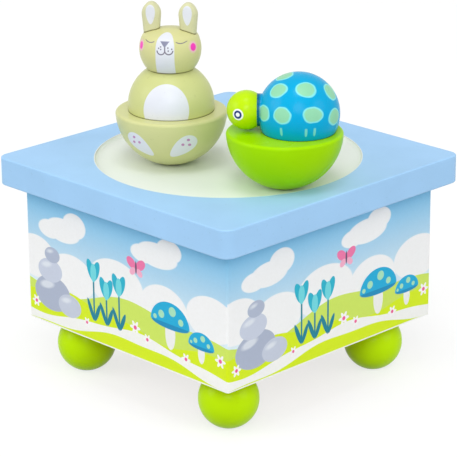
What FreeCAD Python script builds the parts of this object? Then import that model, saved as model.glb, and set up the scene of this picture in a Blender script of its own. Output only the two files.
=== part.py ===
# A wind-up wooden musical box.  A square top plate with a round sunk dance floor sits on a papered case
# on four ball feet.  A spring movement inside turns a disc with two magnets under the floor, and two
# figures on half-ball bases, a rabbit and a turtle, ride on the floor over those magnets.
# Units are millimetres.  Z is up with the feet on z = 0, and the drive axis is x = y = 0.
import FreeCAD
import Part
import math
import os

V = FreeCAD.Vector
X_DIR = V(1, 0, 0)
Z_DIR = V(0, 0, 1)

# Clearances
GLUE_GAP = 0.05        # dowel or screw to its hole, radially
RUN_GAP = 0.05         # shaft to its bearing, radially
PRESS_GAP = 0.01       # wheel or sleeve fixed on a shaft, radially
POCKET_GAP = 0.05      # magnet to its pocket, radially
PANEL_GAP = 0.2        # board or disc to the opening it drops into
HOLE_END_GAP = 0.5     # end of a dowel or screw to the bottom of its hole
FLOOR_GAP = 0.2        # figure base above the dance floor
TURN_GAP = 1.0         # turning disc to the still pieces round it

# Case
PLATE_WIDTH = 115.0
PLATE_THICK = 10.0
PLATE_CORNER_R = 4.2
PLATE_EDGE_R = 0.5
PLATE_OVERHANG = 7.0   # plate edge beyond the case face
CASE_CORNER_R = 1.0
WALL_HEIGHT = 50.0
WALL_THICK = 6.0
WRAP_THICK = 0.3
BOARD_THICK = 6.0
KEY_HOLE_D = 13.0
BLOCK_LENGTH = 21.0
BLOCK_WIDTH = 9.8
BLOCK_BEVEL = 4.0
PLATE_DOWEL_D = 6.0
PLATE_DOWEL_DEPTH = 5.0

# Feet
FOOT_BALL_D = 21.0
FOOT_FLAT = 0.5
FOOT_INSET = 14.2      # foot axis in from the case face
FOOT_DOWEL_D = 5.0
FOOT_DOWEL_DEPTH = 10.0
BOARD_DOWEL_DEPTH = 4.5

# Dance floor
FLOOR_D = 93.4
FLOOR_SUNK = 1.2
FLOOR_THICK = 3.0
FLOOR_LEDGE = 3.2

# Wood and machine screws
SCREW_D = 3.0
SCREW_HEAD_D = 5.6
SCREW_HEAD_T = 1.6
BOARD_SCREW_REACH = 14.0
SMALL_SCREW_D = 1.8
SMALL_HEAD_D = 3.4
SMALL_HEAD_T = 1.2

# Movement bed
BED_THICK = 3.0
BED_MARGIN = 2.0       # bed beyond the shaft end and the governor
BED_TAIL = 3.4         # bed behind the barrel
BED_SCREW_IN = 4.0
BRACKET_THICK = 1.5
BRACKET_HALF_Y = 4.5
BRACKET_FLANGE = 6.0
BRACKET_CROWN = 4.0    # bracket metal above a shaft it holds

# Winding arbor, key and barrel
ARBOR_D = 4.0
BUSH_D = 7.0
BUSH_FLANGE_D = 9.0
BUSH_FLANGE_T = 0.6
COLLAR_D = 6.4
COLLAR_T = 0.8
COLLAR_GAP = 0.1
KEY_STEM_D = 7.0
KEY_STEM_LENGTH = 8.5
KEY_DROP = 16.0        # lowest point of the key below the board
KEY_WING_T = 1.8
KEY_LOBE_D = 9.6
KEY_LOBE_HOLE_D = 4.4
KEY_LOBE_SPREAD = 5.4
BARREL_D = 27.2
BARREL_HEIGHT = 11.0
BARREL_WALL = 1.0
COVER_LIP = 0.6        # cover beyond the barrel
COVER_THICK = 1.1
COVER_BOSS_D = 8.4
COVER_BOSS_HEIGHT = 7.0
ARBOR_PIVOT = 2.4      # arbor end inside the cover boss
SPRING_TURNS = 7
SPRING_THICK = 0.35
SPRING_CORE_R = 3.6
SPRING_EDGE_GAP = 0.6

# Crown wheel on the cover and its pinion
CROWN_TEETH = 32
CROWN_INSET = 0.8      # crown pitch circle in from the barrel wall
CROWN_FACE = 2.0
CROWN_ADDENDUM = 0.75
CROWN_ROOT = 1.1
CROWN_TOOTH_T = 0.95
PINION_TEETH = 12
PINION_THIN = 0.26     # taken off each tooth at the pitch line
PINION_FACE = 2.6
PINION_DEDENDUM = 0.8

# Cylinder and its gear
SHAFT_D = 2.5
SHAFT_END = 0.6
BEARING_GAP = 0.7      # wheel or barrel side to bracket
CYLINDER_D = 13.5
CYLINDER_WALL = 1.2
CYLINDER_LENGTH = 14.4
PIN_D = 0.36
PIN_HEIGHT = 0.5
PIN_ROWS = 18
PINS_PER_ROW = 3
PIN_STEP_DEG = 137.5
TRAIN_MODULE = 0.5
TRAIN_THIN = 0.12
GEAR_TEETH = 48
GEAR_ADDENDUM = 0.3
GEAR_DEDENDUM = 0.65
GEAR_FACE = 1.4
GEAR_PLUG = 1.5

# Governor
GOV_TEETH = 12
GOV_ADDENDUM = 0.4
GOV_DEDENDUM = 0.5
GOV_ANGLE_DEG = 225.0  # direction from the cylinder axis, in the y-z plane
WHEEL_TEETH = 24
WHEEL_ADDENDUM = 0.35
WHEEL_DEDENDUM = 0.65
WHEEL_FACE = 0.8
WHEEL_THIN = 0.28
WHEEL_AHEAD = 8.8      # worm wheel past the start of the cylinder
WORM_PITCH_R = 2.2
WORM_ADDENDUM = 0.35
WORM_DEDENDUM = 0.6
WORM_TOOTH_T = 0.42
WORM_STARTS = 4
WORM_RIDGES = 4        # thread length in ridge spacings
WORM_SHAFT_D = 1.6
FAN_D = 11.0
FAN_T = 0.6
FAN_HEIGHT = 9.0
FAN_GAP = 3.0          # worm thread to fan, and fan to the top arm
GOV_PLATE_T = 1.5
GOV_PLATE_WIDTH = 10.4

# Comb
COMB_TEETH = 18
COMB_THICK = 1.0
COMB_TIP_GAP = 0.3     # pin tips to comb tips
COMB_LENGTH = 18.0
COMB_SLOT = 0.25
COMB_SLOT_MIN = 5.5
COMB_SLOT_MAX = 9.0
COMB_RAIL_WIDTH = 8.5

# Turning magnet disc
DISC_THICK = 4.0
DISC_FLOOR_GAP = 0.5
MAGNET_D = 8.0
MAGNET_T = 3.0
MAGNET_EDGE = 2.3      # disc metal outside the outer magnet
MAGNET_COVER = 0.3     # magnet top below the disc top
OUTPUT_D = 4.0
HUB_D = 20.0
HUB_FLANGE_T = 2.0
HUB_SLEEVE_D = 8.0
HUB_SLEEVE_LENGTH = 6.0
HUB_SCREW_R = 7.0

# Figures in common
FIGURE_DOWEL_D = 6.0
FIGURE_DOWEL_DEPTH = 7.0
BASE_FLAT = 0.6
BASE_RIM_R = 1.0
SEAT_ROUND = 0.5           # rounded edge where a turned ball stands on another
BASE_MAGNET_SKIN = 0.6

# Rabbit
RABBIT_ORBIT = 19.8
RABBIT_PLACE_DEG = -125.8
RABBIT_FACING_DEG = -54.4
RABBIT_BASE_D = 38.8
RABBIT_BODY_D = 30.0
RABBIT_BODY_RISE = 1.8     # centre of the body ball above the base
RABBIT_BODY_HEIGHT = 14.7
RABBIT_HEAD_D = 21.4
RABBIT_HEAD_RISE = 7.1     # centre of the head above the neck
RABBIT_CROWN = 7.3         # top of the head above its centre
RABBIT_CROWN_R = 22.0      # shallow dome that flattens the head
RABBIT_CROWN_ROUND = 2.2
EAR_ROOT_RISE = 6.5        # ear root above the centre of the head
EAR_WIDTH = 6.6
EAR_ROOT_WIDTH = 5.0
EAR_THICK = 4.0
EAR_ROUND = 1.5
EAR_HEIGHT = 16.2          # ear top above the centre of the head
EAR_ARCH = 4.3             # ear top above its widest place
EAR_TIP_R = 2.2
EAR_SPREAD = 6.4           # ear centre to the figure axis
EAR_PEG_D = 2.6
EAR_PEG_DEPTH = 4.0
NECK_DOWEL_D = 5.0
NECK_DOWEL_DEPTH = 5.0

# Turtle
TURTLE_PLACE_DEG = -12.8
TURTLE_FACING_DEG = -137.0
TURTLE_BASE_D = 39.6
SHELL_D = 27.7
SHELL_RISE = 6.2           # centre of the shell ball above the base
SHELL_BACK = 4.7           # shell centre behind the figure axis
TURTLE_HEAD_D = 13.3
TURTLE_HEAD_RISE = 7.2
NECK_OUT = 0.05            # join plane ahead of the shell ball
HEAD_JOIN_IN = 3.6         # join plane behind the head centre
SHELL_COLLAR_D = 11.0
HEAD_DOWEL_D = 3.0
HEAD_DOWEL_DEPTH = 3.4

# Levels and places taken from the sizes above
foot_h = FOOT_BALL_D - 2 * FOOT_FLAT
board_z = foot_h
board_top = board_z + BOARD_THICK
plate_z = board_z + WALL_HEIGHT
plate_top = plate_z + PLATE_THICK
floor_top = plate_top - FLOOR_SUNK
ledge_z = floor_top - FLOOR_THICK
case_half = PLATE_WIDTH / 2 - PLATE_OVERHANG
wall_half = case_half - WRAP_THICK
inner_half = wall_half - WALL_THICK
foot_at = case_half - FOOT_INSET
block_x = inner_half - BLOCK_LENGTH
block_y = inner_half - BLOCK_WIDTH
dowel_at = inner_half - BLOCK_WIDTH / 2
board_screw_x = block_x + SCREW_HEAD_D
floor_r = FLOOR_D / 2
floor_hole_r = floor_r - FLOOR_LEDGE
disc_r = floor_hole_r - TURN_GAP
disc_top = ledge_z - DISC_FLOOR_GAP
disc_z = disc_top - DISC_THICK
turtle_orbit = disc_r - MAGNET_EDGE - MAGNET_D / 2
figure_z = floor_top + FLOOR_GAP
bed_top = board_top + BED_THICK
barrel_z = bed_top + BUSH_FLANGE_T + COLLAR_T + COLLAR_GAP
cover_z = barrel_z + BARREL_HEIGHT
cover_top = cover_z + COVER_THICK
boss_top = cover_top + COVER_BOSS_HEIGHT
arbor_top = cover_top + ARBOR_PIVOT
cover_r = BARREL_D / 2 + COVER_LIP
crown_r = BARREL_D / 2 - CROWN_INSET
crown_module = 2 * crown_r / CROWN_TEETH
pinion_r = PINION_TEETH * crown_module / 2
shaft_z = cover_top + CROWN_ROOT + pinion_r
gear_r = GEAR_TEETH * TRAIN_MODULE / 2
gov_r = GOV_TEETH * TRAIN_MODULE / 2
wheel_r = WHEEL_TEETH * TRAIN_MODULE / 2
gov_dir = math.radians(GOV_ANGLE_DEG)
gov_y = (gear_r + gov_r) * math.cos(gov_dir)
gov_z = shaft_z + (gear_r + gov_r) * math.sin(gov_dir)
worm_y = gov_y - wheel_r - WORM_PITCH_R
worm_pitch = math.pi * TRAIN_MODULE
pinion_x = crown_r - PINION_FACE / 2
left_x = cover_r + BEARING_GAP
drum_x = left_x + BRACKET_THICK + BEARING_GAP
gear_x = drum_x + CYLINDER_LENGTH
wheel_x = drum_x + WHEEL_AHEAD
right_x = gear_x + GEAR_FACE + BEARING_GAP
shaft_end = right_x + BRACKET_THICK + SHAFT_END
pin_tip_r = CYLINDER_D / 2 + PIN_HEIGHT
comb_y = pin_tip_r + COMB_TIP_GAP
comb_z = shaft_z - COMB_THICK / 2
rail_y = comb_y + COMB_LENGTH - COMB_RAIL_WIDTH
gov_plate_x = wheel_x - GOV_PLATE_WIDTH / 2
worm_low = gov_z - worm_pitch * WORM_RIDGES / 2
worm_high = gov_z + worm_pitch * WORM_RIDGES / 2
fan_z = worm_high + FAN_GAP
fan_top = fan_z + FAN_HEIGHT
arm_z = fan_top + FAN_GAP
gov_back_y = worm_y - FAN_D / 2 - TURN_GAP / 2 - GOV_PLATE_T
bed_x_min = -BARREL_D / 2 - BED_TAIL
bed_x_max = shaft_end + BED_MARGIN
bed_half_y = BED_MARGIN - gov_back_y


def rod(d, z0, z1, x=0.0, y=0.0):
    return Part.makeCylinder(d / 2, z1 - z0, V(x, y, z0))


def rod_x(d, x0, x1, y, z):
    return Part.makeCylinder(d / 2, x1 - x0, V(x0, y, z), X_DIR)


def box(x0, x1, y0, y1, z0, z1):
    return Part.makeBox(x1 - x0, y1 - y0, z1 - z0, V(x0, y0, z0))


def ball(d, z, x=0.0):
    return Part.makeSphere(d / 2, V(x, 0, z))


def slab(half, corner_r, z0, z1):
    shape = box(-half, half, -half, half, z0, z1)
    return shape.makeFillet(corner_r, upright_edges(shape))


def upright_edges(shape):
    return [e for e in shape.Edges if abs(e.BoundBox.ZLength - shape.BoundBox.ZLength) < 1e-6]


def level_edges(shape, z):
    return [e for e in shape.Edges if abs(e.BoundBox.ZMin - z) < 1e-6 and e.BoundBox.ZLength < 1e-6]


def four_corners(x, y):
    return [(x, y), (-x, y), (-x, -y), (x, -y)]


def bolt(d, head_d, head_t, seat_z, reach, x, y):
    # Reach is upward for a positive value and downward for a negative one.
    side = math.copysign(1.0, reach)
    low, high = sorted((seat_z, seat_z + reach))
    head_low, head_high = sorted((seat_z, seat_z - side * head_t))
    return rod(d, low, high, x, y).fuse(rod(head_d, head_low, head_high, x, y))


def hole_for(d, gap, seat_z, reach, x, y):
    low, high = sorted((seat_z, seat_z + reach))
    return rod(d + 2 * gap, low, high, x, y)


# Case of board and blocks
def top_plate():
    plate = slab(PLATE_WIDTH / 2, PLATE_CORNER_R, plate_z, plate_top)
    rims = level_edges(plate, plate_z) + level_edges(plate, plate_top)
    plate = plate.makeFillet(PLATE_EDGE_R, rims)
    plate = plate.cut(rod(FLOOR_D, ledge_z, plate_top))
    plate = plate.cut(rod(2 * floor_hole_r, plate_z, ledge_z))
    depth = PLATE_DOWEL_DEPTH + HOLE_END_GAP
    for x, y in four_corners(dowel_at, dowel_at):
        plate = plate.cut(hole_for(PLATE_DOWEL_D, GLUE_GAP, plate_z, depth, x, y))
    return plate


def dance_floor():
    return rod(FLOOR_D - 2 * PANEL_GAP, ledge_z, floor_top)


def wide_wall(side):
    case = slab(wall_half, CASE_CORNER_R - WRAP_THICK, board_z, plate_z)
    near, far = sorted((side * inner_half, side * case_half))
    return case.common(box(-case_half, case_half, near, far, board_z, plate_z))


def side_wall(side):
    near, far = sorted((side * inner_half, side * wall_half))
    return box(near, far, -inner_half, inner_half, board_z, plate_z)


def printed_wrap():
    outer = slab(case_half, CASE_CORNER_R, board_z, plate_z)
    return outer.cut(slab(wall_half, CASE_CORNER_R - WRAP_THICK, board_z, plate_z))


def base_board():
    half = inner_half - PANEL_GAP
    board = box(-half, half, -half, half, board_z, board_top)
    board = board.cut(rod(KEY_HOLE_D, board_z, board_top))
    for x, y in four_corners(foot_at, foot_at):
        depth = BOARD_DOWEL_DEPTH + HOLE_END_GAP
        board = board.cut(hole_for(FOOT_DOWEL_D, GLUE_GAP, board_z, depth, x, y))
    for x, y in four_corners(board_screw_x, dowel_at) + bed_screw_places():
        board = board.cut(hole_for(SCREW_D, GLUE_GAP, board_z, BOARD_THICK, x, y))
    for x, y in four_corners(board_screw_x, dowel_at):
        board = board.cut(sunk_head(GLUE_GAP, x, y))
    return board


def sunk_head(gap, x, y):
    low_r = SCREW_HEAD_D / 2 + gap
    return Part.makeCone(low_r, SCREW_D / 2 + gap, SCREW_HEAD_T, V(x, y, board_z))


def corner_blocks():
    blocks = []
    for x, y in four_corners(1, 1):
        near_x, far_x = sorted((x * block_x, x * inner_half))
        near_y, far_y = sorted((y * block_y, y * inner_half))
        block = box(near_x, far_x, near_y, far_y, board_top, plate_z)
        edge = [e for e in upright_edges(block) if abs(e.BoundBox.XMin - x * block_x) < 1e-6]
        edge = [e for e in edge if abs(e.BoundBox.YMin - y * block_y) < 1e-6]
        block = block.makeChamfer(BLOCK_BEVEL, edge)
        depth = PLATE_DOWEL_DEPTH + HOLE_END_GAP
        block = block.cut(hole_for(PLATE_DOWEL_D, GLUE_GAP, plate_z, -depth, x * dowel_at, y * dowel_at))
        reach = BOARD_SCREW_REACH - BOARD_THICK + HOLE_END_GAP
        block = block.cut(hole_for(SCREW_D, GLUE_GAP, board_top, reach, x * board_screw_x, y * dowel_at))
        blocks.append(block)
    return Part.makeCompound(blocks)


def plate_dowels():
    low = plate_z - PLATE_DOWEL_DEPTH
    high = plate_z + PLATE_DOWEL_DEPTH
    places = four_corners(dowel_at, dowel_at)
    return Part.makeCompound([rod(PLATE_DOWEL_D, low, high, x, y) for x, y in places])


def base_screws():
    screws = []
    for x, y in four_corners(board_screw_x, dowel_at):
        shank = rod(SCREW_D, board_z, board_z + BOARD_SCREW_REACH, x, y)
        screws.append(shank.fuse(sunk_head(0.0, x, y)).removeSplitter())
    return Part.makeCompound(screws)


# Feet
def foot(x, y):
    shape = Part.makeSphere(FOOT_BALL_D / 2, V(x, y, foot_h / 2))
    r = FOOT_BALL_D
    shape = shape.common(box(x - r, x + r, y - r, y + r, 0, foot_h))
    depth = FOOT_DOWEL_DEPTH + HOLE_END_GAP
    return shape.cut(hole_for(FOOT_DOWEL_D, GLUE_GAP, foot_h, -depth, x, y))


def foot_dowels():
    low = foot_h - FOOT_DOWEL_DEPTH
    high = board_z + BOARD_DOWEL_DEPTH
    places = four_corners(foot_at, foot_at)
    return Part.makeCompound([rod(FOOT_DOWEL_D, low, high, x, y) for x, y in places])


# Toothed wheels
def involute(angle):
    return math.tan(angle) - angle


def tooth_half_angle(r, pitch_r, half_at_pitch):
    pressure = math.radians(20)
    base_r = pitch_r * math.cos(pressure)
    at = math.acos(min(1.0, base_r / max(r, base_r)))
    return half_at_pitch + involute(pressure) - involute(at)


def gear(teeth, module, addendum, dedendum, thin, face):
    # A flat wheel from z = 0 up to the face width, with its first tooth on +X.
    pitch_r = teeth * module / 2
    half = (math.pi * module / 2 - thin) / 2 / pitch_r
    base_r = pitch_r * math.cos(math.radians(20))
    radii = [pitch_r - dedendum, max(base_r, pitch_r - dedendum + 0.05), pitch_r, pitch_r + addendum]
    flank = [(r, tooth_half_angle(r, pitch_r, half)) for r in radii]
    points = []
    for k in range(teeth):
        middle = 2 * math.pi * k / teeth
        turn = [(r, middle - a) for r, a in flank] + [(r, middle + a) for r, a in reversed(flank)]
        points += [V(r * math.cos(a), r * math.sin(a), 0) for r, a in turn]
    points.append(points[0])
    return Part.Face(Part.makePolygon(points)).extrude(V(0, 0, face))


def along_x(shape, x, y, z, first_tooth):
    # Turns an upright wheel so that its axis is X and its first tooth points at the given angle in y-z.
    toward = V(0, math.cos(first_tooth), math.sin(first_tooth))
    turned = shape.copy()
    turned.Placement = FreeCAD.Placement(V(x, y, z), FreeCAD.Rotation(toward, V(0, 0, 0), X_DIR, "ZXY"))
    return turned


# Movement bed and the parts fixed to it
def bed_screw_places():
    left = bed_x_min + BED_SCREW_IN
    right = bed_x_max - BED_SCREW_IN
    y = bed_half_y - BED_SCREW_IN
    return [(left, -y), (left, y), (right, y)]


def small_screw_places():
    left = left_x + BRACKET_THICK + BRACKET_FLANGE / 2
    right = right_x - BRACKET_FLANGE / 2
    gov = gov_back_y + GOV_PLATE_T + SMALL_HEAD_D
    return [(left, 0.0), (right, 0.0), (wheel_x - SMALL_HEAD_D, gov), (wheel_x + SMALL_HEAD_D, gov)]


def movement_bedplate():
    bed = box(bed_x_min, bed_x_max, -bed_half_y, bed_half_y, board_top, bed_top)
    bed = bed.cut(rod(BUSH_D + 2 * PRESS_GAP, board_top, bed_top))
    for x, y in bed_screw_places():
        bed = bed.cut(hole_for(SCREW_D, GLUE_GAP, board_top, BED_THICK, x, y))
    for x, y in small_screw_places():
        bed = bed.cut(hole_for(SMALL_SCREW_D, GLUE_GAP, bed_top, -BED_THICK, x, y))
    return bed


def movement_screws():
    reach = BOARD_THICK + BED_THICK
    args = (SCREW_D, SCREW_HEAD_D, SCREW_HEAD_T, board_z, reach)
    return Part.makeCompound([bolt(*args, x, y) for x, y in bed_screw_places()])


def bracket_screws():
    seat = bed_top + BRACKET_THICK
    reach = -(BRACKET_THICK + BED_THICK - HOLE_END_GAP)
    args = (SMALL_SCREW_D, SMALL_HEAD_D, SMALL_HEAD_T, seat, reach)
    return Part.makeCompound([bolt(*args, x, y) for x, y in small_screw_places()])


def arbor_bush():
    bush = rod(BUSH_D, board_top, bed_top).fuse(rod(BUSH_FLANGE_D, bed_top, bed_top + BUSH_FLANGE_T))
    return bush.cut(rod(ARBOR_D + 2 * RUN_GAP, board_top, bed_top + BUSH_FLANGE_T)).removeSplitter()


def bearing(x, shaft_y, shaft_height, shape):
    return shape.cut(rod_x(SHAFT_D + 2 * RUN_GAP, x, x + BRACKET_THICK, shaft_y, shaft_height))


def left_bracket():
    top = shaft_z + BRACKET_CROWN
    plate = box(left_x, left_x + BRACKET_THICK, -BRACKET_HALF_Y, BRACKET_HALF_Y, bed_top, top)
    end = left_x + BRACKET_THICK + BRACKET_FLANGE
    foot_plate = box(left_x, end, -BRACKET_HALF_Y, BRACKET_HALF_Y, bed_top, bed_top + BRACKET_THICK)
    shape = bearing(left_x, 0, shaft_z, plate.fuse(foot_plate))
    x, y = small_screw_places()[0]
    return shape.cut(hole_for(SMALL_SCREW_D, GLUE_GAP, bed_top, BRACKET_THICK, x, y)).removeSplitter()


def right_bracket():
    top = shaft_z + BRACKET_CROWN
    low_y = gov_y - BRACKET_CROWN
    plate = box(right_x, right_x + BRACKET_THICK, -BRACKET_HALF_Y, BRACKET_HALF_Y, bed_top, top)
    wing = box(right_x, right_x + BRACKET_THICK, low_y, BRACKET_HALF_Y, bed_top, gov_z + BRACKET_CROWN)
    start = right_x - BRACKET_FLANGE
    foot_plate = box(start, right_x, -BRACKET_HALF_Y, BRACKET_HALF_Y, bed_top, bed_top + BRACKET_THICK)
    shape = bearing(right_x, 0, shaft_z, plate.fuse([wing, foot_plate]))
    shape = bearing(right_x, gov_y, gov_z, shape)
    x, y = small_screw_places()[1]
    return shape.cut(hole_for(SMALL_SCREW_D, GLUE_GAP, bed_top, BRACKET_THICK, x, y)).removeSplitter()


def governor_bracket():
    x0 = gov_plate_x
    x1 = gov_plate_x + GOV_PLATE_WIDTH
    y0 = gov_back_y
    t = GOV_PLATE_T
    near_y = gov_y + BRACKET_CROWN / 2
    sole = box(x0, x1, y0, near_y, bed_top, bed_top + t)
    back = box(x0, x1, y0, y0 + t, bed_top, arm_z + t)
    arm = box(x0, x1, y0, worm_y + BRACKET_CROWN, arm_z, arm_z + t)
    cheek = box(x0, x0 + t, gov_y - BRACKET_CROWN / 2, near_y, bed_top, gov_z + BRACKET_CROWN / 2)
    shape = sole.fuse([back, arm, cheek])
    shape = bearing(x0, gov_y, gov_z, shape)
    shape = shape.cut(rod(WORM_SHAFT_D + 2 * RUN_GAP, bed_top, arm_z + t, wheel_x, worm_y))
    for x, y in small_screw_places()[2:]:
        shape = shape.cut(hole_for(SMALL_SCREW_D, GLUE_GAP, bed_top, t, x, y))
    return shape.removeSplitter()


# Winding arbor, key, spring and barrel
def winding_arbor():
    low = board_z - KEY_STEM_LENGTH + HOLE_END_GAP
    arbor = rod(ARBOR_D, low, arbor_top)
    collar_z = bed_top + BUSH_FLANGE_T + COLLAR_GAP / 2
    return arbor.fuse(rod(COLLAR_D, collar_z, collar_z + COLLAR_T)).removeSplitter()


def winding_key():
    stem_low = board_z - KEY_STEM_LENGTH
    low = board_z - KEY_DROP
    lobe_z = low + KEY_LOBE_D / 2
    half_t = KEY_WING_T / 2
    key = rod(KEY_STEM_D, stem_low, board_z)
    wing = box(-KEY_LOBE_SPREAD, KEY_LOBE_SPREAD, -half_t, half_t, low + KEY_LOBE_D / 4, stem_low)
    key = key.fuse(wing)
    for x in (-KEY_LOBE_SPREAD, KEY_LOBE_SPREAD):
        at = V(x, -half_t, lobe_z)
        key = key.fuse(Part.makeCylinder(KEY_LOBE_D / 2, KEY_WING_T, at, V(0, 1, 0)))
        key = key.cut(Part.makeCylinder(KEY_LOBE_HOLE_D / 2, KEY_WING_T, at, V(0, 1, 0)))
    return key.cut(rod(ARBOR_D + 2 * PRESS_GAP, stem_low, board_z)).removeSplitter()


def spring_barrel():
    cup = rod(BARREL_D, barrel_z, cover_z)
    cup = cup.cut(rod(BARREL_D - 2 * BARREL_WALL, barrel_z + BARREL_WALL, cover_z))
    return cup.cut(rod(ARBOR_D + 2 * RUN_GAP, barrel_z, barrel_z + BARREL_WALL))


def spiral_edges(start_r, step, turns):
    # Half circles about two centres in turn, each a quarter pitch wider than the one before.
    edges = []
    for k in range(2 * turns):
        r = start_r + k * step / 2
        centre = V(0.0, 0.0, 0.0) if k % 2 == 0 else V(step / 2, 0.0, 0.0)
        start = 0.0 if k % 2 == 0 else math.pi
        circle = Part.Circle(centre, Z_DIR, r)
        edges.append(Part.Arc(circle, start, start + math.pi).toShape())
    return edges


def mainspring():
    room = BARREL_D / 2 - BARREL_WALL - SPRING_EDGE_GAP - SPRING_CORE_R - SPRING_THICK
    step = room / (SPRING_TURNS + 0.5)
    inner = spiral_edges(SPRING_CORE_R, step, SPRING_TURNS)
    outer = spiral_edges(SPRING_CORE_R + SPRING_THICK, step, SPRING_TURNS)
    ends = [(inner[0].firstVertex().Point, outer[0].firstVertex().Point)]
    ends.append((inner[-1].lastVertex().Point, outer[-1].lastVertex().Point))
    caps = [Part.makeLine(a, b) for a, b in ends]
    wire = Part.Wire(Part.__sortEdges__(inner + outer + caps))
    low = barrel_z + BARREL_WALL
    strip = Part.Face(wire).extrude(V(0, 0, cover_z - SPRING_EDGE_GAP - low))
    strip.translate(V(0, 0, low))
    return strip


def crown_tooth():
    half = CROWN_TOOTH_T / 2
    slope = math.tan(math.radians(20))
    pitch_z = cover_top + CROWN_ROOT
    low = cover_top - COVER_THICK / 2
    high = pitch_z + CROWN_ADDENDUM
    wide = half + (pitch_z - low) * slope
    thin = half - CROWN_ADDENDUM * slope
    x = crown_r - CROWN_FACE / 2
    points = [V(x, -wide, low), V(x, wide, low), V(x, thin, high), V(x, -thin, high), V(x, -wide, low)]
    return Part.Face(Part.makePolygon(points)).extrude(V(CROWN_FACE, 0, 0))


def barrel_cover():
    cover = rod(2 * cover_r, cover_z, cover_top).fuse(rod(COVER_BOSS_D, cover_z, boss_top))
    teeth = []
    for k in range(CROWN_TEETH):
        tooth = crown_tooth()
        tooth.rotate(V(0, 0, 0), Z_DIR, 360.0 * (k + 0.5) / CROWN_TEETH)
        teeth.append(tooth)
    cover = cover.fuse(teeth)
    cover = cover.cut(rod(ARBOR_D + 2 * RUN_GAP, cover_z, arbor_top + HOLE_END_GAP))
    return cover.cut(rod(OUTPUT_D + 2 * PRESS_GAP, output_low(), boss_top)).removeSplitter()


def output_low():
    return arbor_top + 2 * HOLE_END_GAP


# Cylinder train
def crown_pinion():
    wheel = gear(PINION_TEETH, crown_module, CROWN_ADDENDUM, PINION_DEDENDUM, PINION_THIN, PINION_FACE)
    wheel = wheel.cut(rod(SHAFT_D + 2 * PRESS_GAP, 0, PINION_FACE))
    return along_x(wheel, pinion_x, 0, shaft_z, -math.pi / 2)


def cylinder_shaft():
    return rod_x(SHAFT_D, pinion_x, shaft_end, 0, shaft_z)


def music_cylinder():
    drum = rod_x(CYLINDER_D, drum_x, gear_x, 0, shaft_z)
    drum = drum.cut(rod_x(CYLINDER_D - 2 * CYLINDER_WALL, drum_x + CYLINDER_WALL, gear_x, 0, shaft_z))
    drum = drum.cut(rod_x(SHAFT_D + 2 * PRESS_GAP, drum_x, gear_x, 0, shaft_z))
    return drum.fuse(cylinder_pins()).removeSplitter()


def cylinder_pins():
    pins = []
    start_r = CYLINDER_D / 2 - CYLINDER_WALL / 2
    for k in range(PIN_ROWS * PINS_PER_ROW):
        angle = math.radians(PIN_STEP_DEG * k)
        x = drum_x + CYLINDER_LENGTH * (k % PIN_ROWS + 0.5) / PIN_ROWS
        out = V(0, math.cos(angle), math.sin(angle))
        pins.append(Part.makeCylinder(PIN_D / 2, pin_tip_r - start_r, V(x, 0, shaft_z) + out * start_r, out))
    return pins


def cylinder_gear():
    wheel = gear(GEAR_TEETH, TRAIN_MODULE, GEAR_ADDENDUM, GEAR_DEDENDUM, TRAIN_THIN, GEAR_FACE)
    wheel = along_x(wheel, gear_x, 0, shaft_z, gov_dir)
    plug_d = CYLINDER_D - 2 * CYLINDER_WALL - 2 * PRESS_GAP
    wheel = wheel.fuse(rod_x(plug_d, gear_x - GEAR_PLUG, gear_x, 0, shaft_z))
    return wheel.cut(rod_x(SHAFT_D + 2 * PRESS_GAP, gear_x - GEAR_PLUG, gear_x + GEAR_FACE, 0, shaft_z))


def governor_wheel():
    shaft = rod_x(SHAFT_D, gov_plate_x - SHAFT_END, shaft_end, gov_y, gov_z)
    pinion = gear(GOV_TEETH, TRAIN_MODULE, GOV_ADDENDUM, GOV_DEDENDUM, TRAIN_THIN, GEAR_FACE)
    pinion = along_x(pinion, gear_x, gov_y, gov_z, gov_dir + math.pi + math.pi / GOV_TEETH)
    wheel = gear(WHEEL_TEETH, TRAIN_MODULE, WHEEL_ADDENDUM, WHEEL_DEDENDUM, WHEEL_THIN, WHEEL_FACE)
    wheel = along_x(wheel, wheel_x - WHEEL_FACE / 2, gov_y, gov_z, math.pi + math.pi / WHEEL_TEETH)
    return shaft.fuse([pinion, wheel]).removeSplitter()


def worm_threads():
    root = WORM_PITCH_R - WORM_DEDENDUM - 0.2
    tip = WORM_PITCH_R + WORM_ADDENDUM
    slope = math.tan(math.radians(20))
    wide = WORM_TOOTH_T / 2 + (WORM_PITCH_R - root) * slope
    thin = WORM_TOOTH_T / 2 - WORM_ADDENDUM * slope
    section = [V(root, 0, -wide), V(tip, 0, -thin), V(tip, 0, thin), V(root, 0, wide), V(root, 0, -wide)]
    helix = Part.makeHelix(worm_pitch * WORM_STARTS, worm_high - worm_low, WORM_PITCH_R)
    thread = Part.Wire(helix.Edges).makePipeShell([Part.makePolygon(section)], True, True)
    # The first thread starts on the wheel side, a whole number of ridges below the wheel axis.
    thread.translate(V(wheel_x, worm_y, worm_low))
    starts = []
    for k in range(WORM_STARTS):
        start = thread.copy()
        start.rotate(V(wheel_x, worm_y, 0), Z_DIR, 90 + 360 * k / WORM_STARTS)
        starts.append(start)
    return starts


def governor_worm():
    core_d = 2 * (WORM_PITCH_R - WORM_DEDENDUM)
    core = rod(core_d, worm_low - worm_pitch, worm_high + worm_pitch, wheel_x, worm_y)
    spindle = rod(WORM_SHAFT_D, bed_top + HOLE_END_GAP, arm_z + GOV_PLATE_T + SHAFT_END, wheel_x, worm_y)
    half = FAN_D / 2
    fan = box(wheel_x - half, wheel_x + half, worm_y - FAN_T / 2, worm_y + FAN_T / 2, fan_z, fan_top)
    hub = rod(core_d, fan_z - FAN_GAP / 2, fan_top, wheel_x, worm_y)
    return spindle.fuse([core, fan, hub] + worm_threads())


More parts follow.
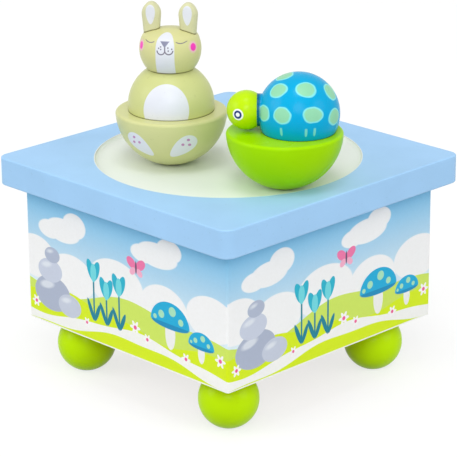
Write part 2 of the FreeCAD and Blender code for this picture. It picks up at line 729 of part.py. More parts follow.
# Comb
def comb_screw_places():
    y = comb_y + COMB_LENGTH - COMB_RAIL_WIDTH / 2
    return [(drum_x + CYLINDER_LENGTH * share, y) for share in (0.2, 0.8)]


def comb():
    plate = box(drum_x, gear_x - RUN_GAP, comb_y, comb_y + COMB_LENGTH, comb_z, comb_z + COMB_THICK)
    pitch = CYLINDER_LENGTH / COMB_TEETH
    for k in range(1, COMB_TEETH):
        x = drum_x + k * pitch
        depth = COMB_SLOT_MIN + (COMB_SLOT_MAX - COMB_SLOT_MIN) * k / COMB_TEETH
        slot = box(x - COMB_SLOT / 2, x + COMB_SLOT / 2, comb_y, comb_y + depth, comb_z, comb_z + COMB_THICK)
        plate = plate.cut(slot)
    for x, y in comb_screw_places():
        plate = plate.cut(hole_for(SMALL_SCREW_D, GLUE_GAP, comb_z, COMB_THICK, x, y))
    return plate


def comb_rail():
    rail = box(drum_x, gear_x - RUN_GAP, rail_y, rail_y + COMB_RAIL_WIDTH, bed_top, comb_z)
    for x, y in comb_screw_places():
        rail = rail.cut(hole_for(SMALL_SCREW_D, GLUE_GAP, comb_z, -comb_screw_depth(), x, y))
    return rail


def comb_screw_depth():
    return 2 * COMB_RAIL_WIDTH / 2 + HOLE_END_GAP


def comb_screws():
    reach = -(COMB_THICK + comb_screw_depth() - HOLE_END_GAP)
    args = (SMALL_SCREW_D, SMALL_HEAD_D, SMALL_HEAD_T, comb_z + COMB_THICK, reach)
    return Part.makeCompound([bolt(*args, x, y) for x, y in comb_screw_places()])


# Turning magnet disc
def around(radius, degrees):
    angle = math.radians(degrees)
    return radius * math.cos(angle), radius * math.sin(angle)


def figure_places():
    return [around(RABBIT_ORBIT, RABBIT_PLACE_DEG), around(turtle_orbit, TURTLE_PLACE_DEG)]


def hub_screw_places():
    return [around(HUB_SCREW_R, 90 + 120 * k) for k in range(3)]


def magnet_disc():
    disc = rod(2 * disc_r, disc_z, disc_top)
    disc = disc.cut(rod(OUTPUT_D + 2 * PRESS_GAP, disc_z, disc_top))
    low = disc_top - MAGNET_COVER - MAGNET_T
    for x, y in figure_places():
        disc = disc.cut(rod(MAGNET_D + 2 * POCKET_GAP, low - POCKET_GAP, disc_top, x, y))
    for x, y in hub_screw_places():
        disc = disc.cut(hole_for(SMALL_SCREW_D, GLUE_GAP, disc_z, DISC_THICK - HOLE_END_GAP, x, y))
    return disc


def carrier_magnet(place):
    x, y = place
    top = disc_top - MAGNET_COVER
    return rod(MAGNET_D, top - MAGNET_T, top, x, y)


def output_shaft():
    return rod(OUTPUT_D, output_low(), disc_top)


def rotor_hub():
    flange_z = disc_z - HUB_FLANGE_T
    hub = rod(HUB_D, flange_z, disc_z).fuse(rod(HUB_SLEEVE_D, flange_z - HUB_SLEEVE_LENGTH, disc_z))
    hub = hub.cut(rod(OUTPUT_D + 2 * PRESS_GAP, flange_z - HUB_SLEEVE_LENGTH, disc_z))
    for x, y in hub_screw_places():
        hub = hub.cut(hole_for(SMALL_SCREW_D, GLUE_GAP, flange_z, HUB_FLANGE_T, x, y))
    return hub.removeSplitter()


def hub_screws():
    reach = HUB_FLANGE_T + DISC_THICK - 2 * HOLE_END_GAP
    args = (SMALL_SCREW_D, SMALL_HEAD_D, SMALL_HEAD_T, disc_z - HUB_FLANGE_T, reach)
    return Part.makeCompound([bolt(*args, x, y) for x, y in hub_screw_places()])


# Figures, each built about its own axis facing +X with its lowest point at z = 0
def placed(shape, place, facing):
    x, y = place
    turn = FreeCAD.Rotation(Z_DIR, facing)
    moved = shape.copy()
    moved.Placement = FreeCAD.Placement(V(x, y, figure_z), turn)
    return moved


def base_height(base_d):
    return base_d / 2 - BASE_FLAT


def half_ball(base_d, dowel_x):
    top = base_height(base_d)
    r = base_d
    shape = ball(base_d, top).common(box(-r, r, -r, r, 0, top))
    shape = shape.makeFillet(BASE_RIM_R, level_edges(shape, top))
    low = BASE_MAGNET_SKIN
    shape = shape.cut(rod(MAGNET_D + 2 * POCKET_GAP, low, low + MAGNET_T + POCKET_GAP))
    depth = FIGURE_DOWEL_DEPTH + HOLE_END_GAP
    return shape.cut(hole_for(FIGURE_DOWEL_D, GLUE_GAP, top, -depth, dowel_x, 0))


def figure_magnet():
    return rod(MAGNET_D, BASE_MAGNET_SKIN, BASE_MAGNET_SKIN + MAGNET_T)


def figure_dowel(base_d, dowel_x):
    top = base_height(base_d)
    return rod(FIGURE_DOWEL_D, top - FIGURE_DOWEL_DEPTH, top + FIGURE_DOWEL_DEPTH, dowel_x)


rabbit_top = base_height(RABBIT_BASE_D)
neck_z = rabbit_top + RABBIT_BODY_HEIGHT
rabbit_head_z = neck_z + RABBIT_HEAD_RISE


def rabbit_body():
    r = RABBIT_BODY_D
    shape = ball(RABBIT_BODY_D, rabbit_top + RABBIT_BODY_RISE)
    shape = shape.common(box(-r, r, -r, r, rabbit_top, neck_z))
    shape = shape.makeFillet(SEAT_ROUND, level_edges(shape, rabbit_top) + level_edges(shape, neck_z))
    depth = FIGURE_DOWEL_DEPTH + HOLE_END_GAP
    shape = shape.cut(hole_for(FIGURE_DOWEL_D, GLUE_GAP, rabbit_top, depth, 0, 0))
    depth = NECK_DOWEL_DEPTH + HOLE_END_GAP
    return shape.cut(hole_for(NECK_DOWEL_D, GLUE_GAP, neck_z, -depth, 0, 0))


def head_form():
    r = RABBIT_HEAD_D
    crown_z = rabbit_head_z + RABBIT_CROWN
    form = ball(RABBIT_HEAD_D, rabbit_head_z).common(box(-r, r, -r, r, neck_z, crown_z + r))
    form = form.common(ball(2 * RABBIT_CROWN_R, crown_z - RABBIT_CROWN_R))
    brim = [e for e in form.Edges if e.BoundBox.ZMin > rabbit_head_z and e.BoundBox.XLength > r / 2]
    form = form.makeFillet(RABBIT_CROWN_ROUND, [e for e in brim if e.BoundBox.YLength > r / 2])
    return form.makeFillet(SEAT_ROUND, level_edges(form, neck_z))


def ear_root_z():
    return rabbit_head_z + EAR_ROOT_RISE


def rabbit_head():
    depth = NECK_DOWEL_DEPTH + HOLE_END_GAP
    head = head_form().cut(hole_for(NECK_DOWEL_D, GLUE_GAP, neck_z, depth, 0, 0))
    low = ear_root_z() - EAR_PEG_DEPTH - HOLE_END_GAP
    for y in (-EAR_SPREAD, EAR_SPREAD):
        head = head.cut(rod(EAR_PEG_D + 2 * GLUE_GAP, low, ear_root_z() + EAR_WIDTH, 0, y))
    return head


def ear_outline(y):
    # A tapered stem under a pointed arch of two side curves and one tip curve.
    wide = EAR_WIDTH / 2
    root = EAR_ROOT_WIDTH / 2
    low = ear_root_z() - EAR_WIDTH / 2
    top = rabbit_head_z + EAR_HEIGHT
    spring_z = top - EAR_ARCH
    lift = EAR_ARCH - EAR_TIP_R
    side_r = (lift * lift + wide * wide - EAR_TIP_R * EAR_TIP_R) / (2 * (wide - EAR_TIP_R))
    lean = math.atan2(lift, side_r - wide)
    x = -EAR_THICK / 2

    def on_side(side, angle):
        across = wide - side_r + side_r * math.cos(angle)
        return V(x, y + side * across, spring_z + side_r * math.sin(angle))

    tip = Part.Arc(on_side(-1, lean), V(x, y, top), on_side(1, lean))
    sides = [Part.Arc(on_side(k, 0), on_side(k, lean / 2), on_side(k, lean)) for k in (-1, 1)]
    stem = [on_side(-1, 0), V(x, y - root, low), V(x, y + root, low), on_side(1, 0)]
    edges = [arc.toShape() for arc in [tip] + sides] + Part.makePolygon(stem).Edges
    return Part.Face(Part.Wire(Part.__sortEdges__(edges)))


def rabbit_ear(y):
    paddle = ear_outline(y).extrude(V(EAR_THICK, 0, 0))
    low = paddle.BoundBox.ZMin
    rims = [e for e in paddle.Edges if e.BoundBox.XLength < 1e-6 and e.BoundBox.ZMax > low + 1e-6]
    paddle = paddle.makeFillet(EAR_ROUND, rims).cut(head_form())
    paddle = max(paddle.Solids, key=lambda s: s.CenterOfMass.z)
    peg = rod(EAR_PEG_D, ear_root_z() - EAR_PEG_DEPTH, ear_root_z() + EAR_WIDTH / 2, 0, y)
    return paddle.fuse(peg).removeSplitter()


def neck_dowel():
    return rod(NECK_DOWEL_D, neck_z - NECK_DOWEL_DEPTH, neck_z + NECK_DOWEL_DEPTH)


turtle_top = base_height(TURTLE_BASE_D)
shell_z = turtle_top + SHELL_RISE
turtle_head_z = turtle_top + TURTLE_HEAD_RISE
join_x = SHELL_D / 2 - SHELL_BACK + NECK_OUT
head_x = join_x + HEAD_JOIN_IN


def turtle_shell():
    r = SHELL_D
    shape = ball(SHELL_D, shell_z, -SHELL_BACK)
    shape = shape.common(box(-2 * r, join_x, -r, r, turtle_top, turtle_top + 2 * r))
    shape = shape.makeFillet(SEAT_ROUND, level_edges(shape, turtle_top))
    shape = shape.fuse(rod_x(SHELL_COLLAR_D, 0, join_x, 0, turtle_head_z))
    depth = FIGURE_DOWEL_DEPTH + HOLE_END_GAP
    shape = shape.cut(hole_for(FIGURE_DOWEL_D, GLUE_GAP, turtle_top, depth, -SHELL_BACK, 0))
    hole = HEAD_DOWEL_DEPTH + HOLE_END_GAP
    return shape.cut(rod_x(HEAD_DOWEL_D + 2 * GLUE_GAP, join_x - hole, join_x, 0, turtle_head_z))


def turtle_head():
    r = TURTLE_HEAD_D
    shape = ball(TURTLE_HEAD_D, turtle_head_z, head_x)
    shape = shape.common(box(join_x, join_x + 2 * r, -r, r, turtle_head_z - r, turtle_head_z + r))
    hole = HEAD_DOWEL_DEPTH + HOLE_END_GAP
    return shape.cut(rod_x(HEAD_DOWEL_D + 2 * GLUE_GAP, join_x, join_x + hole, 0, turtle_head_z))


def head_dowel():
    return rod_x(HEAD_DOWEL_D, join_x - HEAD_DOWEL_DEPTH, join_x + HEAD_DOWEL_DEPTH, 0, turtle_head_z)


def case_nodes():
    nodes = {"top_plate": top_plate(), "dance_floor": dance_floor(), "printed_wrap": printed_wrap()}
    nodes["front_wall"] = wide_wall(-1)
    nodes["back_wall"] = wide_wall(1)
    nodes["left_wall"] = side_wall(-1)
    nodes["right_wall"] = side_wall(1)
    nodes["base_board"] = base_board()
    nodes["corner_blocks"] = corner_blocks()
    nodes["plate_dowels"] = plate_dowels()
    nodes["base_screws"] = base_screws()
    nodes["foot_front_left"] = foot(-foot_at, -foot_at)
    nodes["foot_front_right"] = foot(foot_at, -foot_at)
    nodes["foot_back_left"] = foot(-foot_at, foot_at)
    nodes["foot_back_right"] = foot(foot_at, foot_at)
    nodes["foot_dowels"] = foot_dowels()
    return nodes


def movement_nodes():
    makers = [movement_bedplate, movement_screws, bracket_screws, arbor_bush, left_bracket, right_bracket,
              governor_bracket, winding_arbor, winding_key, spring_barrel, mainspring, barrel_cover,
              crown_pinion, cylinder_shaft, music_cylinder, cylinder_gear, governor_wheel, governor_worm,
              comb, comb_rail, comb_screws, magnet_disc, output_shaft, rotor_hub, hub_screws]
    nodes = {maker.__name__: maker() for maker in makers}
    rabbit_at, turtle_at = figure_places()
    nodes["rabbit_carrier_magnet"] = carrier_magnet(rabbit_at)
    nodes["turtle_carrier_magnet"] = carrier_magnet(turtle_at)
    return nodes


def rabbit_nodes():
    nodes = {"rabbit_base": half_ball(RABBIT_BASE_D, 0), "rabbit_magnet": figure_magnet()}
    nodes["rabbit_body_dowel"] = figure_dowel(RABBIT_BASE_D, 0)
    nodes["rabbit_body"] = rabbit_body()
    nodes["rabbit_neck_dowel"] = neck_dowel()
    nodes["rabbit_head"] = rabbit_head()
    nodes["rabbit_ear_left"] = rabbit_ear(EAR_SPREAD)
    nodes["rabbit_ear_right"] = rabbit_ear(-EAR_SPREAD)
    return {name: placed(s, figure_places()[0], RABBIT_FACING_DEG) for name, s in nodes.items()}


def turtle_nodes():
    nodes = {"turtle_base": half_ball(TURTLE_BASE_D, -SHELL_BACK), "turtle_magnet": figure_magnet()}
    nodes["turtle_body_dowel"] = figure_dowel(TURTLE_BASE_D, -SHELL_BACK)
    nodes["turtle_shell"] = turtle_shell()
    nodes["turtle_head_dowel"] = head_dowel()
    nodes["turtle_head"] = turtle_head()
    return {name: placed(s, figure_places()[1], TURTLE_FACING_DEG) for name, s in nodes.items()}


os.makedirs("parts", exist_ok=True)
for group in (case_nodes(), movement_nodes(), rabbit_nodes(), turtle_nodes()):
    for node, shape in group.items():
        shape.exportStep("parts/" + node + ".step")
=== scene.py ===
# %% [markdown]
# # A wooden music box with two dancing figures
# The toy is a square wooden box on four ball feet. A rabbit and a turtle stand on its
# round floor, held by magnets, and a wind-up movement inside turns them. The solids come
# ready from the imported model, in metres, so this lesson is about looks: light, paint,
# a printed wrap, and two small pieces that are worth modelling by hand.

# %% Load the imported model
import math

import bmesh
import bpy
from mathutils import Matrix, Vector


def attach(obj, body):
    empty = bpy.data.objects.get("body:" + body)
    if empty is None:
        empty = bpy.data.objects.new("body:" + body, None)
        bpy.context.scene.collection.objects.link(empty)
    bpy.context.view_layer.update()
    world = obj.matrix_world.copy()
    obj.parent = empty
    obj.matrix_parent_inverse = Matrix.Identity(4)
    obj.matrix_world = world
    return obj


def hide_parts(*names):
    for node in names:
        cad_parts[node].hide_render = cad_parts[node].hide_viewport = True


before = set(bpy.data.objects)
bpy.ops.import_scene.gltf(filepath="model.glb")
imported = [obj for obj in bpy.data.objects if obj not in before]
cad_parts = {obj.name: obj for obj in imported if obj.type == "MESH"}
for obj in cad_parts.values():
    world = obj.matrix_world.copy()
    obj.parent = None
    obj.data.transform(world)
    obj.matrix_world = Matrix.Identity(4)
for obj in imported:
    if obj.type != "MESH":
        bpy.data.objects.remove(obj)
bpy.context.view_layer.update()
MM = 0.001

# %% [markdown]
# ## The camera
# The picture was taken from a little above, looking at one corner of the box through a
# long lens. A camera could be aimed with a constraint, but a matrix made from the viewing
# angle, the height angle and a small roll says the same thing with three plain numbers.

# %% Camera at the photograph's angle
TURN, RISE, ROLL = (math.radians(angle) for angle in (45.605, 19.414, -0.47))
EYE = Vector((570.943, -559.214, 334.342)) * MM
SENSOR, FOCAL_PIXELS, FRAME_PIXELS = 36.0, 2397.18, 457.0
NEAREST = 0.05


def put(name, data):
    """Puts an object with this data into the scene, at the origin."""
    thing = bpy.data.objects.new(name, data)
    bpy.context.scene.collection.objects.link(thing)
    return thing


back = Vector((math.sin(TURN) * math.cos(RISE), -math.cos(TURN) * math.cos(RISE), math.sin(RISE)))
right = Vector((math.cos(TURN), math.sin(TURN), 0.0))
up = back.cross(right)
across = math.cos(ROLL) * right + math.sin(ROLL) * up
upward = math.cos(ROLL) * up - math.sin(ROLL) * right
lens = bpy.data.cameras.new("studio_camera")
lens.sensor_width = SENSOR
lens.lens = SENSOR * FOCAL_PIXELS / FRAME_PIXELS
lens.clip_start = NEAREST
camera = put("studio_camera", lens)
camera.matrix_world = Matrix.Translation(EYE) @ Matrix((across, upward, back)).transposed().to_4x4()
bpy.context.scene.camera = camera
bpy.context.scene.view_settings.view_transform = "Standard"
print("lens", round(lens.lens, 2), "mm at", [round(v, 3) for v in EYE])

# %% [markdown]
# ## Node arithmetic
# Every finish below is made of shader nodes. Wiring hundreds of them by hand would hide
# the idea, so one small class wraps a socket and lets ordinary arithmetic add the Math
# nodes. One method makes every other node: its type, its settings, and its sockets.

# %% A socket that can be added and multiplied
class Wire:
    """One output in a node graph. Arithmetic on it adds Math nodes."""

    def __init__(self, finish, socket):
        self.finish = finish
        self.socket = socket

    def output(self, name):
        return Wire(self.finish, self.socket.node.outputs[name])

    def math(self, operation, *others, clamp=False):
        settings = {"operation": operation, "use_clamp": clamp}
        return self.finish.node("ShaderNodeMath", settings, dict(enumerate((self,) + others)))

    def __add__(self, other):
        return self.math("ADD", other)

    def __sub__(self, other):
        return self.math("SUBTRACT", other)

    def __rsub__(self, other):
        return self.finish.node("ShaderNodeMath", {"operation": "SUBTRACT"}, {0: other, 1: self})

    def __mul__(self, other):
        return self.math("MULTIPLY", other)

    def __abs__(self):
        return self.math("ABSOLUTE")

    __radd__ = __add__
    __rmul__ = __mul__


print("sockets can be added, subtracted and multiplied")


# %% A finish: one material and the methods that build it
class Finish:
    """A material (or the world) whose nodes are all made by one method."""

    def __init__(self, owner):
        owner.use_nodes = True
        self.owner = owner
        self.tree = owner.node_tree
        self.tree.nodes.clear()

    def node(self, kind, settings=None, sockets=None, out=0):
        made = self.tree.nodes.new(kind)
        for name, value in (settings or {}).items():
            setattr(made, name, value)
        for key, value in (sockets or {}).items():
            if isinstance(value, Wire):
                self.tree.links.new(value.socket, made.inputs[key])
            else:
                made.inputs[key].default_value = value
        return Wire(self, made.outputs[out]) if made.outputs else None

    def vector(self, operation, first, second=(0.0, 0.0, 0.0)):
        out = "Value" if operation in ("LENGTH", "DISTANCE") else "Vector"
        return self.node("ShaderNodeVectorMath", {"operation": operation}, {0: first, 1: second}, out)

    def seen_from(self, vector, centre, turn, scale):
        """A place as seen from a centre, turned about Z and measured in a scale."""
        sockets = {"Vector": vector, "Location": centre, "Rotation": (0.0, 0.0, turn), "Scale": scale}
        return self.node("ShaderNodeMapping", {"vector_type": "TEXTURE"}, sockets)

    def point(self, centre=(0.0, 0.0, 0.0), turn=0.0):
        """The place on the piece in millimetres, seen from a centre and turned about Z."""
        where = self.node("ShaderNodeTexCoord", out="Object")
        return self.seen_from(where, [c * MM for c in centre], turn, (MM, MM, MM))

    def split(self, vector):
        first = self.node("ShaderNodeSeparateXYZ", None, {0: vector})
        return first, first.output("Y"), first.output("Z")

    def flat(self, x, y, z=0.0):
        return self.node("ShaderNodeCombineXYZ", None, {0: x, 1: y, 2: z})

    def noise(self, vector, scale, detail=2.0, stretch=None):
        if stretch:
            vector = self.vector("MULTIPLY", vector, stretch)
        return self.node("ShaderNodeTexNoise", None, {"Vector": vector, "Scale": scale, "Detail": detail})

    def paint(self, base, colour, mask, blend="MIX"):
        settings = {"data_type": "RGBA", "blend_type": blend}
        return self.node("ShaderNodeMix", settings, {0: mask, 6: base, 7: colour}, 2)

    def shade(self, base, colour, mask):
        return self.paint(base, colour, mask, "MULTIPLY")

    def bump(self, height, strength, distance):
        sockets = {"Strength": strength, "Distance": distance * MM, "Height": height}
        return self.node("ShaderNodeBump", None, sockets)

    def surface(self, sockets):
        shader = self.node("ShaderNodeBsdfPrincipled", None, sockets)
        self.node("ShaderNodeOutputMaterial", None, {"Surface": shader})
        return self.owner


def tone(red, green, blue):
    """A paint colour from 0-255 screen values, as the linear colour that shaders use."""
    levels = [value / 255.0 for value in (red, green, blue)]
    return [v / 12.92 if v <= 0.04045 else ((v + 0.055) / 1.055) ** 2.4 for v in levels] + [1.0]


def new_finish(name):
    return Finish(bpy.data.materials.new(name))


print("node tools ready")

# %% [markdown]
# ## Painting with distances
# A printed or painted motif can be an image, but then it has a resolution. Here a motif is
# a distance instead: how far is this spot from the middle of a petal or a pebble? A mask
# is one where that distance is under a limit, with an edge a tenth of a millimetre soft.

# %% Masks from distances
SOFT = 0.12


def inside(distance, limit, soft=SOFT):
    """One where a distance is under a limit, zero where it is over, and soft between."""
    return distance.math("MULTIPLY_ADD", -1.0 / soft, limit / soft + 0.5, clamp=True)


def beyond(distance, limit, soft=SOFT):
    """One where a distance is over a limit."""
    return distance.math("MULTIPLY_ADD", 1.0 / soft, 0.5 - limit / soft, clamp=True)


def near(value, level, half, soft=SOFT):
    """One where a value lies within a half-width of a level."""
    return inside(abs(value - level), half, soft)


def apart(finish, point, centre):
    """How far a spot on a flat drawing is from a centre."""
    return finish.vector("DISTANCE", point, (*centre, 0.0))


def disc(finish, point, centre, radius):
    return inside(apart(finish, point, centre), radius)


def in_oval(finish, point, centre, half, turn):
    """The spot in an oval's own frame, where the edge is at a distance of one."""
    return finish.seen_from(point, (*centre, 0.0), turn, (*half, 1.0))


def oval(finish, point, centre, half, turn=0.0, soft=SOFT):
    reach = finish.vector("LENGTH", in_oval(finish, point, centre, half, turn))
    return inside(reach, 1.0, soft / min(half))


def any_of(masks):
    total = masks[0]
    for mask in masks[1:]:
        total = total.math("MAXIMUM", mask)
    return total


def all_of(masks):
    total = masks[0]
    for mask in masks[1:]:
        total = total * mask
    return total


print("mask edge", SOFT, "mm")

# %% [markdown]
# ## Light and floor
# The toy stands in soft, even studio light on white. A dome of weak white light does most
# of the work. Large soft lamps give the left wall a little more than the right, one hangs
# above, and one stands behind the camera, a little over it, and lights the near corner. A
# floor could be lit until it is white, but that would bleach the toy as well. So, to the
# eye, this floor glows a little, and a matt share of it still catches the shadow.

# %% The dome
def seen(finish):
    """One for what the eye sees, straight or in a gloss or through glass."""
    path = finish.node("ShaderNodeLightPath", out="Is Camera Ray")
    mirrored = path.math("MAXIMUM", path.output("Is Glossy Ray"))
    return mirrored.math("MAXIMUM", path.output("Is Transmission Ray"))


PURE_WHITE = (1.0, 1.0, 1.0, 1.0)
DOME = 0.58
dome = Finish(bpy.data.worlds.new("studio_dome"))
light = dome.node("ShaderNodeBackground", None, {"Color": PURE_WHITE, "Strength": DOME})
white = dome.node("ShaderNodeBackground", None, {"Color": PURE_WHITE, "Strength": 1.0})
both = dome.node("ShaderNodeMixShader", None, {0: seen(dome), 1: light, 2: white})
dome.node("ShaderNodeOutputWorld", None, {"Surface": both})
bpy.context.scene.world = dome.owner
print("dome strength", DOME)

# %% Four soft lamps
LAMP_AIM = Vector((0.0, 0.0, 0.07))
LAMPS = (
    ("left_lamp", (-1.1, -1.6, 1.0), 1.3, 13.0),
    ("right_lamp", (1.9, 0.6, 0.9), 1.3, 9.5),
    ("front_lamp", (1.35, -1.35, 1.2), 1.2, 17.0),
    ("top_lamp", (0.4, -0.5, 2.2), 0.9, 10.0),
)


def soft_lamp(name, place, size, watts):
    data = bpy.data.lights.new(name, "AREA")
    data.shape = "DISK"
    data.size = size
    data.energy = watts
    lamp = put(name, data)
    facing = (LAMP_AIM - Vector(place)).to_track_quat("-Z", "Y")
    lamp.matrix_world = Matrix.Translation(place) @ facing.to_matrix().to_4x4()


for row in LAMPS:
    soft_lamp(*row)
print("lamps:", len(LAMPS))

# %% The floor
FLOOR_RADIUS = 6.0
GLOW = 0.72


def floor_finish():
    finish = new_finish("studio_white")
    grain = finish.noise(finish.point(), 0.02)
    tint = finish.paint(tone(186, 186, 185), tone(190, 190, 190), grain)
    matt = finish.node("ShaderNodeBsdfDiffuse", None, {"Color": tint})
    shadow = finish.node("ShaderNodeBsdfDiffuse", None, {"Color": tone(149, 149, 148)})
    glow = finish.node("ShaderNodeEmission", None, {"Color": PURE_WHITE, "Strength": GLOW})
    paper = finish.node("ShaderNodeAddShader", None, {0: shadow, 1: glow})
    both = finish.node("ShaderNodeMixShader", None, {0: seen(finish), 1: matt, 2: paper})
    finish.node("ShaderNodeOutputMaterial", None, {"Surface": both})
    return finish.owner


shape = bmesh.new()
bmesh.ops.create_circle(shape, cap_ends=True, radius=FLOOR_RADIUS, segments=64)
mesh = bpy.data.meshes.new("studio_floor")
shape.to_mesh(mesh)
shape.free()
mesh.materials.append(floor_finish())
floor = put("studio_floor", mesh)
print("floor radius", FLOOR_RADIUS, "m")

# %% [markdown]
# ## Enamel on wood
# The plate, the feet and both figures are turned or sawn wood under two coats of enamel.
# Real enamel is never one flat colour: it is a little thicker here and thinner there, it
# has a faint orange-peel skin, and on flat boards the grain shows through as fine lines.
# A picture of paint would show its edges on a ball. Noise has none, so noise is used.

# %% Enamel
def enamel(finish, colour, rough, coat=0.06, grain=0.0, gloss=0.12):
    """Paint over wood: cloudy thickness, orange-peel skin and, on boards, some grain."""
    where = finish.point()
    cloud = finish.noise(where, 0.055, 3.0)
    peel = finish.noise(where, 1.6, 2.0)
    height = peel
    if grain:
        height = peel + grain * finish.noise(where, 0.9, 3.0, (0.06, 1.0, 1.0))
    speck = beyond(finish.noise(where, 0.7, 1.0), 0.73, 0.03)
    body = finish.shade(colour, tone(240, 240, 239), cloud)
    sockets = {"Base Color": finish.shade(body, tone(215, 215, 213), speck * 0.15)}
    sockets["Roughness"] = cloud * 0.12 + (rough - 0.06)
    sockets["Normal"] = finish.bump(height, 0.12, 0.12)
    sockets.update({"Coat Weight": coat, "Coat Roughness": 0.14, "Specular IOR Level": gloss})
    return finish.surface(sockets)


RIM_R, RIM_LOW = 46.95, 78.0
PLATE_BLUE, RIM_CREAM = tone(166, 209, 248), tone(240, 243, 238)


def plate_finish():
    """Blue plate whose recess keeps the cream of the floor on its rim."""
    finish = new_finish("plate_blue_enamel")
    x, y, z = finish.split(finish.point())
    reach = finish.vector("LENGTH", finish.flat(x, y))
    rim = inside(reach, RIM_R, 0.15) * beyond(z, RIM_LOW)
    paint = finish.paint(PLATE_BLUE, RIM_CREAM, rim)
    return enamel(finish, paint, rough=0.4, coat=0.02, grain=0.5, gloss=0.08)


plate_blue = plate_finish()
foot_lime = enamel(new_finish("foot_lime_enamel"), tone(195, 241, 0), rough=0.28, gloss=0.05)
print("enamels:", plate_blue.name, foot_lime.name)

# %% [markdown]
# ## The dancing floor
# The figures glide on a thin off-white disc. Their round bases rub it as they go, so the
# paint has faint rings in it where years of dancing have polished it. Rings could be drawn
# one by one, but a noise that reads only the distance from the middle makes them all.

# %% Floor disc with dancing marks
TRACK_R, TRACK_HALF = 28.0, 11.0


def dance_floor_finish():
    finish = new_finish("dance_floor_cream")
    where = finish.point()
    x, y, _ = finish.split(where)
    reach = finish.vector("LENGTH", finish.flat(x, y))
    rings = finish.noise(finish.flat(reach, 0.0), 1.3, 3.0)
    cloud = finish.noise(where, 0.06, 3.0)
    track = near(reach, TRACK_R, TRACK_HALF, 10.0)
    base = finish.paint(tone(232, 238, 231), tone(227, 234, 228), cloud)
    sockets = {"Base Color": finish.shade(base, tone(226, 228, 222), rings * track * 0.25)}
    sockets["Roughness"] = 0.5 - 0.14 * track * rings
    sockets["Normal"] = finish.bump(finish.noise(where, 2.2, 2.0), 0.08, 0.1)
    sockets["Specular IOR Level"] = 0.08
    return finish.surface(sockets)


floor_cream = dance_floor_finish()
print("floor:", floor_cream.name)

# %% [markdown]
# ## The printed wrap
# A strip of printed paper runs round the four walls under a satin varnish. The print is a
# plain nursery landscape: sky, cloud banks, two lime hills, a path, stones, tulips,
# toadstools, daisies and a butterfly, with a thin white margin below. It is drawn with
# masks, which stay sharp from near by. It repeats on every wall, and the hills are sine
# waves of one wall's length, so they meet at the corners.

# %% Where a spot lies on the unrolled strip
WALL = 101.0
STRIP_LOW = 20.0
MARGIN = 0.45


def strip_point(finish):
    """Distance along the wall and height on it, in millimetres."""
    x, y, z = finish.split(finish.point())
    on_side = abs(x).math("GREATER_THAN", abs(y))
    along_front = x * y.math("SIGN") * -1.0
    along_side = y * x.math("SIGN")
    return along_front + on_side * (along_side - along_front), z - STRIP_LOW


def wave(u, height, turns, shift):
    angle = u.math("MULTIPLY_ADD", 2.0 * math.pi * turns / WALL, shift)
    return angle.math("SINE") * height


print("one wall is", WALL, "mm of print")

# %% Sky, clouds and hills
CLOUDS = ((-31, 37, 9, 4.4), (-25, 40, 6, 4.6), (-38, 36, 6, 3.4),
          (17, 40, 10, 4.4), (23, 43, 6, 4.0), (10, 39, 6, 3.2),
          (-46, 24, 11, 8), (-27, 21, 12, 8), (-4, 24, 14, 9), (20, 21, 12, 9), (43, 24, 12, 8))
PAPER = tone(246, 247, 244)


def land(finish, u, v, at):
    climb = v.math("MULTIPLY_ADD", 0.03, -0.4, clamp=True)
    sky = finish.paint(tone(226, 241, 249), tone(126, 196, 236), climb)
    puffs = any_of([oval(finish, at, (x, y), half, soft=0.35) for x, y, *half in CLOUDS])
    sky = finish.paint(sky, tone(245, 246, 247), puffs)
    far_edge = v - wave(u, 3.0, 1, 0.8) - wave(u, 1.4, 2, 2.0)
    ground = finish.paint(sky, tone(206, 231, 96), inside(far_edge, 16.5))
    near_edge = v - wave(u, 2.4, 1, 3.4) - wave(u, 0.8, 3, 1.0)
    ground = finish.paint(ground, tone(214, 238, 4), inside(near_edge, 11.5))
    path = abs(v - wave(u, 2.6, 1, 1.2) - 4.6) - wave(u, 0.5, 3, 0.0)
    ground = finish.paint(ground, PAPER, inside(path, 1.7))
    return finish.paint(ground, PAPER, inside(v, MARGIN))


print("clouds:", len(CLOUDS))

# %% Stones, tulips and toadstools
STONES = ((-37.5, 12.0, 9.5, 6.6, 172, 182, 204), (-28.5, 9.5, 6.0, 4.2, 197, 205, 222),
          (-38.5, 20.4, 6.4, 4.4, 200, 208, 226), (-37.2, 26.4, 4.0, 2.9, 176, 186, 208))
TULIPS = ((-15.5, 24.0), (-9.0, 19.0), (-2.5, 22.0))
TOADSTOOLS = ((23.0, 17.0, 9.5), (38.0, 13.0, 6.2))
CAP_DOTS = ((-0.45, 0.28, 0.15), (0.12, 0.5, 0.18), (0.55, 0.2, 0.13), (-0.78, 0.12, 0.09))


def stones(finish, base, at):
    for x, y, wide, tall, *colour in STONES:
        base = finish.paint(base, tone(*colour), oval(finish, at, (x, y), (wide, tall), 0.06))
        glint = oval(finish, at, (x - wide * 0.3, y + tall * 0.42), (wide * 0.38, tall * 0.22), 0.2, 0.8)
        base = finish.paint(base, tone(232, 238, 246), glint * 0.7)
    return base


def tulips(finish, base, u, v, at):
    for x, top in TULIPS:
        stem = all_of([near(u, x, 0.4), beyond(v, 8.0), inside(v, top)])
        left_leaf = oval(finish, at, (x - 1.7, 11.5), (0.9, 4.2), 0.4)
        right_leaf = oval(finish, at, (x + 1.7, 11.0), (0.9, 3.6), -0.4)
        base = finish.paint(base, tone(0, 128, 150), any_of([stem, left_leaf, right_leaf]))
        petals = [oval(finish, at, (x + s, top + 2.2), (1.7, 4.0), -0.28 * s) for s in (-1.3, 1.3)]
        base = finish.paint(base, tone(31, 178, 205), any_of(petals))
        base = finish.paint(base, tone(112, 216, 226), oval(finish, at, (x, top + 1.4), (1.5, 3.4)))
    return base


